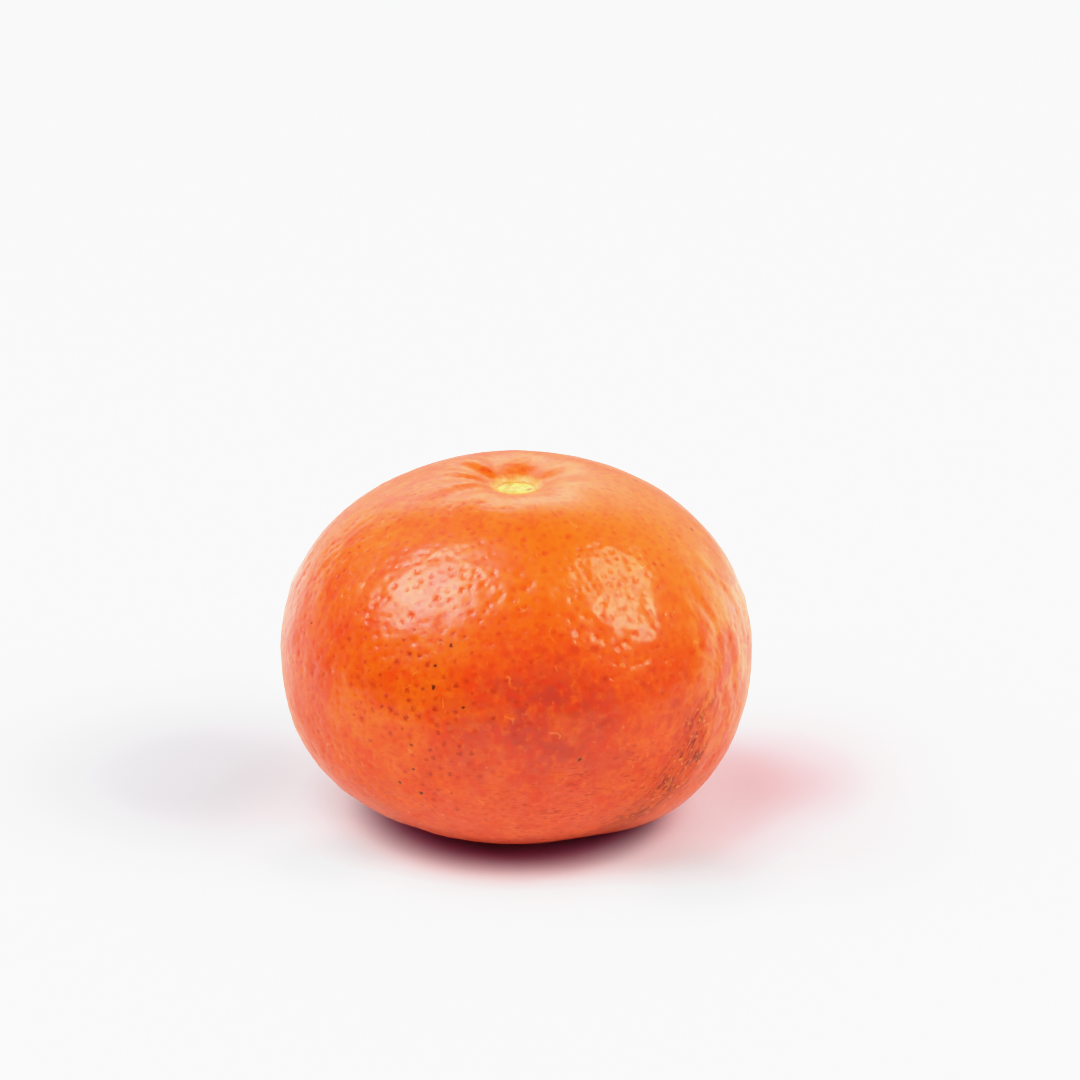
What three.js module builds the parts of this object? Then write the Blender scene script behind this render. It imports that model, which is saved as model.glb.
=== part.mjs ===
// A mandarin, whole and in its rind, lying on its blossom end with the stem end up.
// Millimetres, +Z up. The origin is the middle of the fruit's outline seen from above, on the
// surface that it rests on. The rind, the scar and the flesh under them grew as one piece, so the
// fruit is one closed solid.

import * as THREE from 'three';
import { mergeVertices } from 'three/addons/utils/BufferGeometryUtils.js';

const { degToRad, lerp, smoothstep } = THREE.MathUtils;

// The body: a squat round, a little deeper above its widest line than below it.
const WIDTH = 68; // across X, the equator's diameter
const DEPTH = 66.6; // across Y
const CROWN_HEIGHT = 27.85; // equator to stem end, before the basin sinks in
const BASE_HEIGHT = 25; // equator to blossom end, before the resting spot is pressed flat
const CROWN_FULLNESS = 2.08; // exponent of the side view: 2 is an ellipse, more is squarer
const BASE_FULLNESS = 2.21;
const SHOULDER_COSINE = 0.35; // crown and base blend within this cosine of the equator

// Cheeks: broad swellings of the body. Angles are in degrees, with azimuth from +X towards +Y.
const CHEEKS = [
  { azimuth: -20, elevation: -45, spread: 22, rise: 2.25 },
  { azimuth: 88, elevation: -38, spread: 24, rise: 0.7 },
  { azimuth: 148, elevation: 16, spread: 22, rise: 0.35 },
  { azimuth: 200, elevation: -45, spread: 22, rise: 0.9 },
  { azimuth: 262, elevation: -38, spread: 24, rise: 0.6 },
  { azimuth: 278, elevation: -12, spread: 25, rise: 0.4 },
];

// The stem end: a shallow basin with folds of rind up its wall and the stem's scar at its foot.
const BASIN_DEPTH = 3;
const BASIN_RADIUS = 7; // where the basin has lost two thirds of its depth
const FOLDS = [
  { azimuth: 134, halfWidth: 12, height: 0.6 },
  { azimuth: 167, halfWidth: 10, height: 0.45 },
  { azimuth: 199, halfWidth: 11, height: 0.6 },
  { azimuth: 236, halfWidth: 13, height: 0.35 },
  { azimuth: 288, halfWidth: 20, height: 0.2 },
  { azimuth: 343, halfWidth: 17, height: 0.45 },
  { azimuth: 38, halfWidth: 15, height: 0.35 },
  { azimuth: 86, halfWidth: 14, height: 0.3 },
];
const FOLD_FOOT = 2.8; // radii between which the folds rise, and between which they die away
const FOLD_TOP = 6.5;
const FOLD_FADE = 8;
const FOLD_END = 16;
const SCAR_RADIUS = 2.7;
const SCAR_LIP = 0.9; // width of the slope round the scar
const SCAR_SINK = 0.35;

// The blossom end: a dimple, and round it the flat ring that the fruit rests on.
const DIMPLE_DEPTH = 1.2;
const DIMPLE_RADIUS = 4;
const FLATTENING = 0.45;

// The grid: rows crowd towards the stem end, where the relief is finest.
const COLUMNS = 72;
const ROWS = 54;
const CROWDING_BOTH_ENDS = 0.35;
const CROWDING_STEM_END = 0.3;

const RIND_COLOUR = 0xf0631f;
const RIND_ROUGHNESS = 0.42;

// Polar angle from the stem end of a grid row that evenly spaced rows would put at `even`.
function rowAngle(even) {
  const bothEnds = CROWDING_BOTH_ENDS * Math.sin(2 * even) / 2;
  return even - bothEnds - CROWDING_STEM_END * Math.sin(even);
}

// Distance from the middle of the body to its skin along a unit direction, cheeks included.
function bodyRadius(direction) {
  const upward = direction.z;
  const outward = Math.hypot(direction.x, direction.y);
  const crownShare = smoothstep(upward, -SHOULDER_COSINE, SHOULDER_COSINE);
  const fullness = lerp(BASE_FULLNESS, CROWN_FULLNESS, crownShare);
  const height = upward > 0 ? CROWN_HEIGHT : BASE_HEIGHT;
  const across = (outward / (WIDTH / 2)) ** fullness;
  const along = (Math.abs(upward) / height) ** fullness;
  let radius = (across + along) ** (-1 / fullness);
  for (const { azimuth, elevation, spread, rise } of CHEEKS) {
    const middle = new THREE.Vector3().setFromSphericalCoords(
      1, degToRad(90 - elevation), degToRad(azimuth));
    middle.set(middle.z, middle.x, middle.y); // three.js measures from its own +Y and +Z
    radius += rise * Math.exp(-((direction.angleTo(middle) / degToRad(spread)) ** 2));
  }
  return radius;
}

// How high the folds stand at a distance from the axis, on one azimuth.
function foldHeight(distance, azimuth) {
  const along = smoothstep(distance, FOLD_FOOT, FOLD_TOP) * (1 - smoothstep(distance, FOLD_FADE, FOLD_END));
  let height = 0;
  for (const fold of FOLDS) {
    const turn = azimuth - degToRad(fold.azimuth);
    const offset = Math.atan2(Math.sin(turn), Math.cos(turn)) / degToRad(fold.halfWidth);
    height += fold.height * Math.exp(-(offset ** 2));
  }
  return along * height;
}

// Moves a point of the unit sphere to the fruit's skin.
function toSkin(point) {
  const azimuth = Math.atan2(point.y, point.x);
  const polar = rowAngle(Math.atan2(Math.hypot(point.x, point.y), point.z));
  point.set(Math.sin(polar) * Math.cos(azimuth), Math.sin(polar) * Math.sin(azimuth), Math.cos(polar));
  point.multiplyScalar(bodyRadius(point));
  const distance = Math.hypot(point.x, point.y);
  point.y *= DEPTH / WIDTH;
  if (point.z > 0) {
    point.z -= BASIN_DEPTH * Math.exp(-((distance / BASIN_RADIUS) ** 2));
    point.z += foldHeight(distance, azimuth);
    point.z -= SCAR_SINK * (1 - smoothstep(distance, SCAR_RADIUS, SCAR_RADIUS + SCAR_LIP));
  } else {
    point.z += DIMPLE_DEPTH * Math.exp(-((distance / DIMPLE_RADIUS) ** 2));
    point.z = Math.max(point.z, FLATTENING - BASE_HEIGHT);
  }
}

function fruitGeometry() {
  const grid = new THREE.SphereGeometry(1, COLUMNS, ROWS);
  grid.rotateX(Math.PI / 2); // poles on Z
  grid.deleteAttribute('normal');
  grid.deleteAttribute('uv');
  const positions = grid.getAttribute('position');
  const point = new THREE.Vector3();
  for (let i = 0; i < positions.count; i += 1) {
    toSkin(point.fromBufferAttribute(positions, i));
    positions.setXYZ(i, point.x, point.y, point.z);
  }
  const geometry = mergeVertices(grid, 1e-3);
  geometry.computeBoundingBox();
  const { min, max } = geometry.boundingBox;
  geometry.translate(-(min.x + max.x) / 2, -(min.y + max.y) / 2, -min.z);
  geometry.computeVertexNormals();
  return geometry;
}

function mandarin() {
  const rind = new THREE.MeshStandardMaterial({
    color: RIND_COLOUR, roughness: RIND_ROUGHNESS, metalness: 0 });
  const fruit = new THREE.Mesh(fruitGeometry(), rind);
  fruit.name = 'mandarin';
  return fruit;
}

const part = new THREE.Group();
part.add(mandarin());

export default part;
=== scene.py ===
"""The mandarin's looks: one fruit with the relief of its rind, its oil glands, colours and wax.

Lengths are in millimetres up to the mesh, which is in metres as the frame is. A direction on the fruit
is an azimuth from +X towards +Y and an elevation above its widest line, both in degrees. A place in the
noise is where in the endless noise a pattern is read, so that no two patterns are alike.
"""
import math

import bpy
import numpy as np
from mathutils import Matrix, Vector, noise
from mathutils.kdtree import KDTree


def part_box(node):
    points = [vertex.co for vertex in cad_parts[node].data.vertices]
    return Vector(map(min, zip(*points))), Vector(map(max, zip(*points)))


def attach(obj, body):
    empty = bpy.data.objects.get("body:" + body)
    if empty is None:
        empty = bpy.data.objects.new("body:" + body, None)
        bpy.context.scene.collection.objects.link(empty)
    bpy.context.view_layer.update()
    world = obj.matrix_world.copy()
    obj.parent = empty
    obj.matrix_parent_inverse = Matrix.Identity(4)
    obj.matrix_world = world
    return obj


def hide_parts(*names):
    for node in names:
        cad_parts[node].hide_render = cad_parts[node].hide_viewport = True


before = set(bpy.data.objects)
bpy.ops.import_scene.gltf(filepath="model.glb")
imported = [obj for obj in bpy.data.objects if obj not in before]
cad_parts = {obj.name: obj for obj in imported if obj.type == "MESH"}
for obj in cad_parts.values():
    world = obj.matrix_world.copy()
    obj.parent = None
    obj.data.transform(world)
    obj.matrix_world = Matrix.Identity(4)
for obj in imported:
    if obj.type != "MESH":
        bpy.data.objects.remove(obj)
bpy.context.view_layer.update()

MM = 0.001
SEED = 7

# ---------------------------------------------------------------- the fruit's form, as in the CAD

WIDTH, DEPTH = 68.0, 66.6
CROWN_HEIGHT, BASE_HEIGHT = 27.85, 25.0
CROWN_FULLNESS, BASE_FULLNESS = 2.08, 2.21
SHOULDER_COSINE = 0.35
CHEEKS = (  # azimuth, elevation, spread, rise
    (-20, -45, 22, 2.25),
    (88, -38, 24, 0.7),
    (148, 16, 22, 0.35),
    (200, -45, 22, 0.9),
    (262, -38, 24, 0.6),
    (278, -12, 25, 0.4),
)
BASIN_DEPTH, BASIN_RADIUS = 3.0, 7.0
FOLDS = (  # azimuth, half-width in degrees, height
    (134, 12, 0.6),
    (167, 10, 0.45),
    (199, 11, 0.6),
    (236, 13, 0.35),
    (288, 20, 0.2),
    (343, 17, 0.45),
    (38, 15, 0.35),
    (86, 14, 0.3),
)
FOLD_RISE, FOLD_END = (2.8, 6.5), (8.0, 16.0)  # distances from the axis
SCAR_RADIUS, SCAR_LIP, SCAR_SINK = 2.7, 0.9, 0.35
DIMPLE_DEPTH, DIMPLE_RADIUS = 1.2, 4.0
FLATTENING = 0.45
RESTING_HEIGHT = FLATTENING - BASE_HEIGHT


def smoothstep(value, low, high):
    share = np.clip((value - low) / (high - low), 0, 1)
    return share * share * (3 - 2 * share)


def direction(azimuth, elevation):
    """Unit vector of a place on the fruit."""
    turn, lift = math.radians(azimuth), math.radians(elevation)
    return np.array((math.cos(lift) * math.cos(turn), math.cos(lift) * math.sin(turn), math.sin(lift)))


def body_radius(unit):
    """Distance from the middle of the fruit to its skin along unit vectors, cheeks included."""
    upward, outward = unit[:, 2], np.hypot(unit[:, 0], unit[:, 1])
    crown_share = smoothstep(upward, -SHOULDER_COSINE, SHOULDER_COSINE)
    fullness = BASE_FULLNESS + (CROWN_FULLNESS - BASE_FULLNESS) * crown_share
    height = np.where(upward > 0, CROWN_HEIGHT, BASE_HEIGHT)
    across = (outward / (WIDTH / 2)) ** fullness
    along = (np.abs(upward) / height) ** fullness
    radius = (across + along) ** (-1 / fullness)
    for azimuth, elevation, spread, rise in CHEEKS:
        away = np.arccos(np.clip(unit @ direction(azimuth, elevation), -1, 1))
        radius += rise * np.exp(-((away / math.radians(spread)) ** 2))
    return radius


def fold_height(distance, azimuth):
    along = smoothstep(distance, *FOLD_RISE) * (1 - smoothstep(distance, *FOLD_END))
    height = np.zeros_like(distance)
    for middle, half_width, rise in FOLDS:
        turn = azimuth - math.radians(middle)
        offset = np.arctan2(np.sin(turn), np.cos(turn)) / math.radians(half_width)
        height += rise * np.exp(-(offset**2))
    return along * height


def smooth_skin(unit):
    """Points of the fruit's skin without glands, in millimetres from the middle of the body."""
    point = unit * body_radius(unit)[:, None]
    distance = np.hypot(point[:, 0], point[:, 1])
    point[:, 1] *= DEPTH / WIDTH
    height = point[:, 2]
    basin = -BASIN_DEPTH * np.exp(-((distance / BASIN_RADIUS) ** 2))
    folds = fold_height(distance, np.arctan2(unit[:, 1], unit[:, 0]))
    scar = -SCAR_SINK * (1 - smoothstep(distance, SCAR_RADIUS, SCAR_RADIUS + SCAR_LIP))
    dimple = DIMPLE_DEPTH * np.exp(-((distance / DIMPLE_RADIUS) ** 2))
    resting = np.maximum(height + dimple, RESTING_HEIGHT)
    point[:, 2] = np.where(height > 0, height + basin + folds + scar, resting)
    return point


def skin_place(azimuth, elevation):
    return smooth_skin(direction(azimuth, elevation)[None])[0]


# ---------------------------------------------------------------- the grid

CELLS = 128  # along each edge of the six charts, which makes 196,608 triangles in all
STEM_CROWDING = 0.25  # how much closer together the grid is at the stem end
CHART_MARGIN = 0.02  # of the bake map's charts


def cube_sphere(cells):
    """A sphere's grid: unit vectors, and the quads of six square charts, chart by chart."""
    steps = np.tan(np.linspace(-1, 1, cells + 1) * math.pi / 4)
    u, v = np.meshgrid(steps, steps, indexing="ij")
    one = np.ones_like(u)
    charts = ((one, u, v), (-one, -u, v), (-u, one, v), (u, -one, v), (u, v, one), (u, -v, -one))
    points = np.array([np.stack(chart, -1) for chart in charts]).reshape(-1, 3)
    points /= np.linalg.norm(points, axis=1)[:, None]
    keys = np.round(points * 1e6).astype(np.int64)  # alike where charts meet, so that they share vertices
    _, first, number = np.unique(keys, axis=0, return_index=True, return_inverse=True)
    number = number.reshape(6, cells + 1, cells + 1)
    corners = (number[:, :-1, :-1], number[:, 1:, :-1], number[:, 1:, 1:], number[:, :-1, 1:])
    return points[first], np.stack(corners, -1).reshape(-1, 4)


def crowd_to_stem(unit):
    """Moves the grid's vertices along their meridians towards the stem end."""
    outward = np.hypot(unit[:, 0], unit[:, 1])
    polar = np.arctan2(outward, unit[:, 2])
    polar = polar - STEM_CROWDING * np.sin(polar)
    share = np.sin(polar) / np.maximum(outward, 1e-12)  # no division by zero at the poles
    return np.stack((unit[:, 0] * share, unit[:, 1] * share, np.cos(polar)), -1)


def add_bake_map(mesh):
    """A UV map with the grid's six charts side by side."""
    steps = CHART_MARGIN + (1 - 2 * CHART_MARGIN) * np.linspace(0, 1, CELLS + 1)
    u, v = np.meshgrid(steps, steps, indexing="ij")
    flat = np.stack((u, v), -1)
    corners = np.stack((flat[:-1, :-1], flat[1:, :-1], flat[1:, 1:], flat[:-1, 1:]), 2).reshape(-1, 4, 2)
    charts = [(corners + (chart % 3, chart // 3)) / (3, 2) for chart in range(6)]
    layer = mesh.uv_layers.new(name="OFBake")
    layer.data.foreach_set("uv", np.concatenate(charts).ravel())


# ---------------------------------------------------------------- noise and places on points


def fields(points, wavelength, place):
    """Smooth noise from -1 to 1 at each point, read at a place in the noise."""
    moved = points / wavelength + np.array(place)
    return np.array([noise.noise(Vector(point)) for point in moved])


def closeness(points, azimuth, elevation, full, gone):
    """1 within full millimetres of a place on the fruit and 0 past gone."""
    away = np.linalg.norm(points - skin_place(azimuth, elevation), axis=1)
    return smoothstep(-away, -gone, -full)


def tree_of(points):
    tree = KDTree(len(points))
    for index, point in enumerate(points):
        tree.insert(point, index)
    tree.balance()
    return tree


# ---------------------------------------------------------------- oil glands

GLAND_SPACING = 1.05  # least distance between two glands
GLAND_TRIES = 60000
GLAND_RADIUS = (0.26, 0.5)
GLAND_DEPTH = 0.075  # of the deepest pits
RIM_SHARE, RIM_PLACE, RIM_WIDTH = 0.14, 1.8, 0.8  # the swelling round a pit, in its depth and radii
HOLLOW_DEPTH, HOLLOW_RADIUS = 0.06, 0.8  # the wide shallow hollow round each pit
LEAST_HOLLOW = 0.5  # of the hollow's depth, round a gland with no pit
GLAND_REACH = 2.1  # as far as a gland moves the skin
GATHER_REACH = 0.8  # vertices this close to a gland move with the one that goes to its middle
DEEP_GLANDS = 1.6  # the higher, the fewer glands are deep
DARK_GLANDS = 2.4  # the higher, the fewer glands are dark

TONE, TONE_SWING, TONE_LIMITS = 0.9, 0.8, (0.15, 2.0)  # how dark glands are
TONE_CLOUDS = (9, (6.1, 2.3, 5.5))  # wavelength, place in the noise
TONED = (  # azimuth, elevation, full within, gone past, added darkness
    (-112, 12, 6.0, 19.0, 1.0),
    (-130, 30, 6.0, 20.0, 0.35),
    (-60, -5, 8.0, 24.0, -0.45),
)

PITTING, PITTING_SWING, PITTING_LIMITS = 0.85, 0.5, (0.35, 1.5)  # how strong the relief is
PITTING_CLOUDS = (11, (3.1, 8.4, 1.7))  # wavelength, place in the noise
PITTED = (  # azimuth, elevation, full within, gone past, added strength
    (-112, 38, 8.0, 22.0, 0.05),
    (-62, 36, 6.0, 16.0, 0.55),
    (-12, 50, 10.0, 24.0, -0.6),
    (-75, -25, 12.0, 26.0, -0.35),
)
WAXY_CROWN, WAXY_CALM = (19, 26), 0.7  # heights between which this share of the relief fades out

SPECKS = (  # azimuth, elevation, radius: dark dead glands on the side that shows
    (-110.1, 12.4, 0.34),
    (-110.4, 17.5, 0.3),
    (-107.0, 22.6, 0.3),
    (-115.2, -2.5, 0.26),
    (-115.1, -9.0, 0.26),
    (-119.6, -14.0, 0.3),
    (-114.0, -16.0, 0.34),
    (-75.3, -4.6, 0.3),
    (-153.8, 17.4, 0.24),
    (-102.5, 8.4, 0.26),
)
SHOWING, SHOWING_COSINE = direction(-90, 23), 0.3  # the side with the listed specks
OTHER_SPECKS = 0.005  # share of the glands that are dead on the rest of the fruit


class Glands:
    """The oil glands: places, sizes, depths and tones."""

    def __init__(self, rng):
        tries = rng.normal(size=(GLAND_TRIES, 3))
        tries /= np.linalg.norm(tries, axis=1)[:, None]
        tries = np.concatenate(([direction(*speck[:2]) for speck in SPECKS], tries))
        points = smooth_skin(tries)
        kept = spaced(points, GLAND_SPACING)
        self.unit, self.point = tries[kept], points[kept]
        count = len(kept)
        self.radius = rng.uniform(*GLAND_RADIUS, count)
        self.prominence = rng.random(count) ** DEEP_GLANDS
        self.tone = rng.random(count) ** DARK_GLANDS * gland_tones(self.point)
        self.stain = rng.random(count)
        self.dead = (rng.random(count) < OTHER_SPECKS) & (self.unit @ SHOWING < SHOWING_COSINE)
        self.radius[: len(SPECKS)] = [speck[2] for speck in SPECKS]
        self.dead[: len(SPECKS)] = True
        self.strength = relief_strength(self.point)


def spaced(points, least):
    """Indices of points, taken in order, that lie at least that far from all taken before."""
    kept, cells = [], {}
    neighbours = [(i, j, k) for i in (-1, 0, 1) for j in (-1, 0, 1) for k in (-1, 0, 1)]
    places = np.floor(points / least).astype(int)
    for index, (point, cell) in enumerate(zip(points.tolist(), places.tolist())):
        near = (
            other
            for step in neighbours
            for other in cells.get((cell[0] + step[0], cell[1] + step[1], cell[2] + step[2]), ())
        )
        if all(math.dist(point, other) >= least for other in near):
            kept.append(index)
            cells.setdefault(tuple(cell), []).append(point)
    return np.array(kept)


def gland_tones(points):
    """How dark the glands of each place are."""
    tones = TONE + TONE_SWING * fields(points, *TONE_CLOUDS)
    for *place, added in TONED:
        tones += added * closeness(points, *place)
    return np.clip(tones, *TONE_LIMITS)


def relief_strength(points):
    """How strongly the rind is pitted: less on the waxy crown, and in patches."""
    crown = smoothstep(points[:, 2], *WAXY_CROWN)
    patches = PITTING + PITTING_SWING * fields(points, *PITTING_CLOUDS)
    for *place, added in PITTED:
        patches += added * closeness(points, *place)
    return (1 - WAXY_CALM * crown) * np.clip(patches, *PITTING_LIMITS)


def gather(unit, glands):
    """Moves the grid so that each gland has a vertex in its middle."""
    points = smooth_skin(unit)
    tree = tree_of(points)
    moved = unit.copy()
    for place, point in zip(glands.unit, glands.point):
        nearest = tree.find(point)[1]
        step = place - unit[nearest]
        for _, index, distance in tree.find_range(points[nearest], GATHER_REACH):
            moved[index] += step * (1 - distance / GATHER_REACH) ** 2
    return moved / np.linalg.norm(moved, axis=1)[:, None]


# ---------------------------------------------------------------- the rind's relief

PEBBLES = (  # wavelength, height, place in the noise
    (1.5, 0.032, (0.3, 5.2, 9.1)),
    (2.4, 0.062, (2.7, 3.4, 8.6)),
    (4.4, 0.12, (5.1, 0.4, 3.6)),
    (8.0, 0.16, (7.7, 1.4, 2.6)),
    (17.0, 0.25, (4.2, 6.6, 0.8)),
)

STREAKED = (  # azimuth, elevation, full within, gone past: shoulders that are rippled and carry pale streaks of painted sheen
    (-20, 8, 9.0, 18.0),
    (-14, 22, 4.0, 13.0),
    (166, 8, 3.0, 12.0),
    (75, 5, 6.0, 18.0),
)
RIPPLES = 13.0  # per radian round the fruit
RIPPLE_LENGTH, RIPPLE_HEIGHT, RIPPLE_PLACE = 10.0, 0.2, (2.2, 5.8, 1.3)
RIPPLE_BEND, RIPPLE_BENDS = 2.0, (6, (1.0, 1.0, 6.0))  # how far they wander; wavelength, place in the noise

WRINKLES = 4.6  # per radian round the stem end
WRINKLE_LENGTH, WRINKLE_HEIGHT, WRINKLE_PLACE = 9.0, 0.2, (8.2, 0.8, 4.4)
WRINKLE_RISE, WRINKLE_END = (4.5, 9.0), (13.0, 24.0)  # distances from the axis
WRINKLED, WRINKLED_SPREAD = 165.0, 70.0  # azimuth where they are deepest, and how many degrees round it
LEAST_WRINKLED = 0.25  # share of their height that they have all round
WRINKLE_SHARE, WRINKLE_SWING, WRINKLE_LIMITS = 0.45, 1.6, (0.1, 1)
WRINKLE_CLOUDS = (6, (7.0, 2.0, 0.5))  # wavelength, place in the noise

REST_MARGIN = 1.5  # the relief dies away over this height above the resting ring


def gland_relief(points, glands):
    """How far each gland's pit, its swollen rim and the hollow round it move the skin's points outward."""
    tree = tree_of(points)
    outward = np.zeros(len(points))
    each = zip(glands.point, glands.radius, glands.prominence, glands.strength)
    for point, radius, depth, strength in each:
        for _, index, distance in tree.find_range(point, GLAND_REACH):
            reach = distance / radius
            rim = RIM_SHARE * math.exp(-(((reach - RIM_PLACE) / RIM_WIDTH) ** 2))
            pit = GLAND_DEPTH * depth * (rim - math.exp(-(reach**2)))
            hollow = HOLLOW_DEPTH * (LEAST_HOLLOW + depth) * math.exp(-((distance / HOLLOW_RADIUS) ** 2))
            outward[index] += strength * (pit - hollow)
    return outward


def pebbling(points):
    return sum(height * fields(points, wavelength, place) for wavelength, height, place in PEBBLES)


def around(points, number, length):
    """Places for noise that runs along the meridians: as many waves a radian, and their length."""
    azimuth = np.arctan2(points[:, 1], points[:, 0])
    along = np.linalg.norm(points[:, :2], axis=1) - points[:, 2]
    return np.stack((np.cos(azimuth) * number, np.sin(azimuth) * number, along / length), -1)


def ripples(points):
    """Long low ridges down the shoulders, where the rind is streaked."""
    share = np.max([closeness(points, *place) for place in STREAKED], axis=0)
    bent = points + RIPPLE_BEND * fields(points, *RIPPLE_BENDS)[:, None] * (1.0, 1.0, 0.0)
    return RIPPLE_HEIGHT * share * fields(around(bent, RIPPLES, RIPPLE_LENGTH), 1, RIPPLE_PLACE)


def wrinkles(points):
    """Low folds that run out from the stem end."""
    distance = np.linalg.norm(points[:, :2], axis=1)
    share = smoothstep(distance, *WRINKLE_RISE) * (1 - smoothstep(distance, *WRINKLE_END))
    clouds = WRINKLE_SHARE + WRINKLE_SWING * fields(points, *WRINKLE_CLOUDS)
    share *= (points[:, 2] > 0) * np.clip(clouds, *WRINKLE_LIMITS)
    turn = np.arctan2(points[:, 1], points[:, 0]) - math.radians(WRINKLED)
    away = np.degrees(np.arccos(np.clip(np.cos(turn), -1, 1)))
    share *= LEAST_WRINKLED + (1 - LEAST_WRINKLED) * np.exp(-((away / WRINKLED_SPREAD) ** 2))
    return WRINKLE_HEIGHT * share * fields(around(points, WRINKLES, WRINKLE_LENGTH), 1, WRINKLE_PLACE)


# ---------------------------------------------------------------- the mesh


def skin_mesh(glands):
    """The fruit's mesh in the frame's place, with the attributes that the rind's material reads."""
    unit, quads = cube_sphere(CELLS)
    unit = gather(crowd_to_stem(unit), glands)
    points = smooth_skin(unit)
    mesh = bpy.data.meshes.new("rind")
    mesh.from_pydata(points, [], quads.tolist())
    finished = points + vertex_normals(mesh) * skin_relief(points, glands)[:, None]
    add_gland_attributes(mesh, quads, points, glands)
    add_bake_map(mesh)
    low, high = (np.array(corner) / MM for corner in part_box("mandarin"))
    finished *= (high - low) / np.ptp(finished, axis=0)
    shift = low - finished.min(0)
    mesh.vertices.foreach_set("co", ((finished + shift) * MM).ravel())
    mesh.shade_smooth()
    mesh.update()
    return mesh, shift


def vertex_normals(mesh):
    normals = np.zeros(3 * len(mesh.vertices))
    mesh.vertices.foreach_get("normal", normals)
    return normals.reshape(-1, 3)


def skin_relief(points, glands):
    """How far the skin's points move outward, which is nothing on the resting ring."""
    free = smoothstep(points[:, 2], RESTING_HEIGHT, RESTING_HEIGHT + REST_MARGIN)
    rough = pebbling(points) * relief_strength(points) + gland_relief(points, glands)
    rough += ripples(points) + wrinkles(points)
    return rough * free


def add_gland_attributes(mesh, quads, points, glands):
    """On each face corner its offset from the face's nearest gland, in the gland's radii."""
    tree = tree_of(glands.point)
    middles = points[quads].mean(1)
    nearest = np.array([tree.find(middle)[1] for middle in middles])
    offsets = (points[quads] - glands.point[nearest][:, None]) / glands.radius[nearest][:, None, None]
    attribute = mesh.attributes.new("gland_offset", "FLOAT_VECTOR", "CORNER")
    attribute.data.foreach_set("vector", offsets.ravel())
    depth = glands.prominence * glands.strength
    sorts = {"depth": depth, "tone": glands.tone, "stain": glands.stain, "dead": glands.dead}
    for name, values in sorts.items():
        attribute = mesh.attributes.new("gland_" + name, "FLOAT", "FACE")
        attribute.data.foreach_set("value", values[nearest])


# ---------------------------------------------------------------- shader nodes


class Nodes:
    """A shader's node tree, with one short call for each kind of node."""

    def __init__(self, tree):
        self.tree = tree
        self.tree.nodes.clear()

    def add(self, kind, settings=None, **inputs):
        node = self.tree.nodes.new("ShaderNode" + kind)
        for name, value in (settings or {}).items():
            setattr(node, name, value)
        for name, value in inputs.items():
            self.feed(node.inputs[name.replace("_", " ")], value)
        return node

    def feed(self, socket, value):
        if isinstance(value, bpy.types.NodeSocket):
            self.tree.links.new(value, socket)
        else:
            socket.default_value = value

    def math(self, operation, *values):
        node = self.add("Math", {"operation": operation})
        for socket, value in zip(node.inputs, values):
            self.feed(socket, value)
        return node.outputs[0]

    def product(self, *values):
        """All the values, sockets or numbers, multiplied."""
        result = values[0]
        for value in values[1:]:
            result = self.math("MULTIPLY", result, value)
        return result

    def scaled(self, value, factor, added):
        return self.math("MULTIPLY_ADD", value, factor, added)

    def vector(self, operation, *values, output=0):
        node = self.add("VectorMath", {"operation": operation})
        for socket, value in zip(node.inputs, values):
            self.feed(socket, value)
        return node.outputs[output]

    def step(self, value, low, high):
        """0 below low and 1 above high, smooth between; high may be under low."""
        node = self.add("MapRange", {"interpolation_type": "SMOOTHSTEP"})
        falling = high < low
        ends = (high, low, 1.0, 0.0) if falling else (low, high, 0.0, 1.0)
        for socket, number in zip(node.inputs, (value, *ends)):
            self.feed(socket, number)
        return node.outputs[0]

    def mix(self, share, first, second, blend="MIX"):
        node = self.add("Mix", {"data_type": "RGBA", "blend_type": blend})
        for index, value in ((0, share), (6, first), (7, second)):
            self.feed(node.inputs[index], value)
        return node.outputs[2]

    def stained(self, colour, stain, *shares):
        """A colour turned to another by the product of the shares."""
        return self.mix(self.product(*shares), colour, stain)

    def noise(self, place, wavelength, detail=2.0, offset=(0.0, 0.0, 0.0)):
        moved = self.vector("MULTIPLY_ADD", place, (1 / wavelength,) * 3, offset)
        return self.add("TexNoise", Vector=moved, Scale=1.0, Detail=detail).outputs[0]

    def cells(self, place, spacing):
        """Distance from the nearest cell's middle, in spacings, and the cell's own draw from 0 to 1."""
        cells = self.add("TexVoronoi", Vector=place, Scale=1 / spacing)
        own = self.add("SeparateColor", Color=cells.outputs["Color"]).outputs[0]
        return cells.outputs["Distance"], own

    def combined(self, **sides):
        return self.add("CombineXYZ", **sides).outputs[0]

    def separated(self, vector):
        return self.add("SeparateXYZ", Vector=vector).outputs

    def attribute(self, name, output="Fac"):
        return self.add("Attribute", {"attribute_name": name}).outputs[output]


def new_material(name):
    material = bpy.data.materials.new(name)
    material.use_nodes = True
    return material, Nodes(material.node_tree)


def body_place(nodes, shift):
    """The point's place in millimetres from the middle of the body, as the form's formulas have it."""
    coordinates = nodes.add("TexCoord").outputs["Object"]
    return nodes.vector("MULTIPLY_ADD", coordinates, (1 / MM,) * 3, tuple(-shift))


def polar_place(nodes, place):
    """The point's azimuth and elevation in radians, its distance from the axis and its height."""
    sides = nodes.separated(place)
    turn = nodes.math("ARCTAN2", sides["Y"], sides["X"])
    outward = nodes.vector("LENGTH", nodes.vector("MULTIPLY", place, (1.0, 1.0, 0.0)), output=1)
    lift = nodes.math("ARCTAN2", sides["Z"], outward)
    return {"turn": turn, "lift": lift, "outward": outward, "height": sides["Z"]}


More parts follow.
